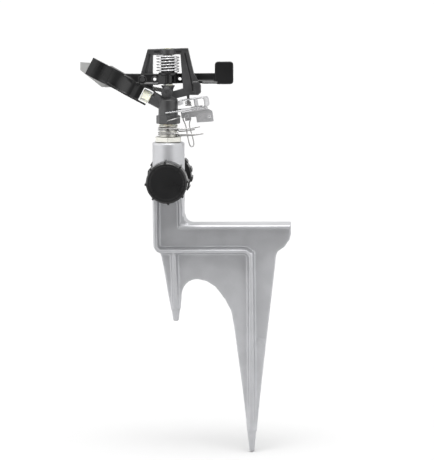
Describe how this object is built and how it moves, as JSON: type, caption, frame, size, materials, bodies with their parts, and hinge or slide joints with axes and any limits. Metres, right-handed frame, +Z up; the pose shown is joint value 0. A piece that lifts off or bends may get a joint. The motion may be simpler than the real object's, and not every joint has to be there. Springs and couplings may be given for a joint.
{
  "type": "impact sprinkler",
  "caption": "Impact sprinkler on a cast step spike, with a hose coupling, a capped outlet, a swinging impact arm with spoon and paddle, wire trip collars and a diffuser flap.",
  "frame": {"origin": "on the riser's axis at ground level, the underside of the casting's level rib", "axes": "+Z up along the riser, +X along the step plate toward the long spike, hose ports on Y with the cap toward -Y and the hose coupling toward +Y"},
  "size_m": [0.1884, 0.085, 0.3658],
  "materials": {
    "painted_zinc": "silver-grey paint on die-cast zinc, slightly pebbled, satin",
    "black_plastic": "moulded black plastic, satin",
    "steel": "bright stamped steel and spring wire",
    "black_steel": "blackened steel screw, satin",
    "plated_metal": "bright plated zinc, faintly yellow",
    "white_plastic": "cream-white acetal, satin",
    "grey_plastic": "mid-grey moulded plastic",
    "black_rubber": "black rubber washer",
    "brass": "turned brass"
  },
  "bodies": {
    "base": {"spike_casting": "painted_zinc", "bearing_sleeve": "plated_metal", "swivel_tailpiece": "brass"},
    "inlet_swivel": {"hose_coupling": "black_plastic", "inlet_washer": "black_rubber", "inlet_screen": "steel"},
    "cap_seat": {"cap_washer": "black_rubber"},
    "cap": {"outlet_cap": "black_plastic"},
    "head": {"bearing_tube": "brass", "thrust_washer": "white_plastic", "seal_washer": "black_rubber", "friction_washer": "white_plastic", "dust_washer": "white_plastic", "bearing_spring": "steel", "sprinkler_body": "black_plastic", "nozzle": "white_plastic", "fulcrum_pin": "steel", "bearing_cap": "white_plastic", "arm_spring": "steel", "arm_washer_lower": "white_plastic", "arm_washer_upper": "white_plastic", "diffuser_screw": "black_steel", "diffuser_nut": "steel", "detent_spring": "steel"},
    "arm": {"impact_arm": "black_plastic", "arm_bushing": "brass", "arm_screw": "black_steel"},
    "diffuser": {"diffuser_flap": "grey_plastic"},
    "trip": {"trip_lever": "steel", "trip_yoke": "steel", "trip_rivet_1": "steel", "trip_rivet_2": "steel", "trip_spring": "steel", "pin_rivet": "steel"},
    "hairpin": {"pin_clip": "steel", "trip_pin": "steel"},
    "collar_low": {"lower_collar": "steel"},
    "collar_high": {"upper_collar": "steel"}
  },
  "joints": [
    {"name": "coupling_turn", "type": "hinge", "parent": "base", "child": "inlet_swivel", "pos_m": [0, 0.033, 0.067], "axis": [0, 1, 0], "continuous": true},
    {"name": "cap_travel", "type": "slide", "parent": "base", "child": "cap_seat", "axis": [0, -1, 0], "range_m": [0, 0.0112]},
    {"name": "cap_turn", "type": "hinge", "parent": "cap_seat", "child": "cap", "pos_m": [0, -0.033, 0.067], "axis": [0, -1, 0], "range_deg": [0, 1800]},
    {"name": "head_turn", "type": "hinge", "parent": "base", "child": "head", "pos_m": [0, 0, 0.13], "axis": [0, 0, 1], "range_deg": [0, 280]},
    {"name": "arm_swing", "type": "hinge", "parent": "head", "child": "arm", "pos_m": [0, 0, 0.157], "axis": [0, 0, 1], "range_deg": [0, 75], "stiffness_Nm_per_rad": 0.02, "springref_deg": -17.19},
    {"name": "diffuser_tilt", "type": "hinge", "parent": "head", "child": "diffuser", "pos_m": [-0.0012, 0.0088, 0.145], "axis": [0, 1, 0], "range_deg": [-8, 8]},
    {"name": "trip_swing", "type": "hinge", "parent": "head", "child": "trip", "pos_m": [0, 0, 0.13], "axis": [0, 0, 1], "range_deg": [-5, 5]},
    {"name": "hairpin_flip", "type": "hinge", "parent": "trip", "child": "hairpin", "pos_m": [0.017, -0.0015, 0.12386], "axis": [0, -1, 0], "range_deg": [0, 70]},
    {"name": "lower_collar_turn", "type": "hinge", "parent": "base", "child": "collar_low", "pos_m": [0, 0, 0.1075], "axis": [0, 0, 1], "range_deg": [-40, 0]},
    {"name": "upper_collar_turn", "type": "hinge", "parent": "base", "child": "collar_high", "pos_m": [0, 0, 0.1112], "axis": [0, 0, 1], "range_deg": [-40, 0]}
  ],
  "couplings": [
    {"joint": "cap_travel", "follows": "cap_turn", "m_per_rad": 0.00035157}
  ]
}
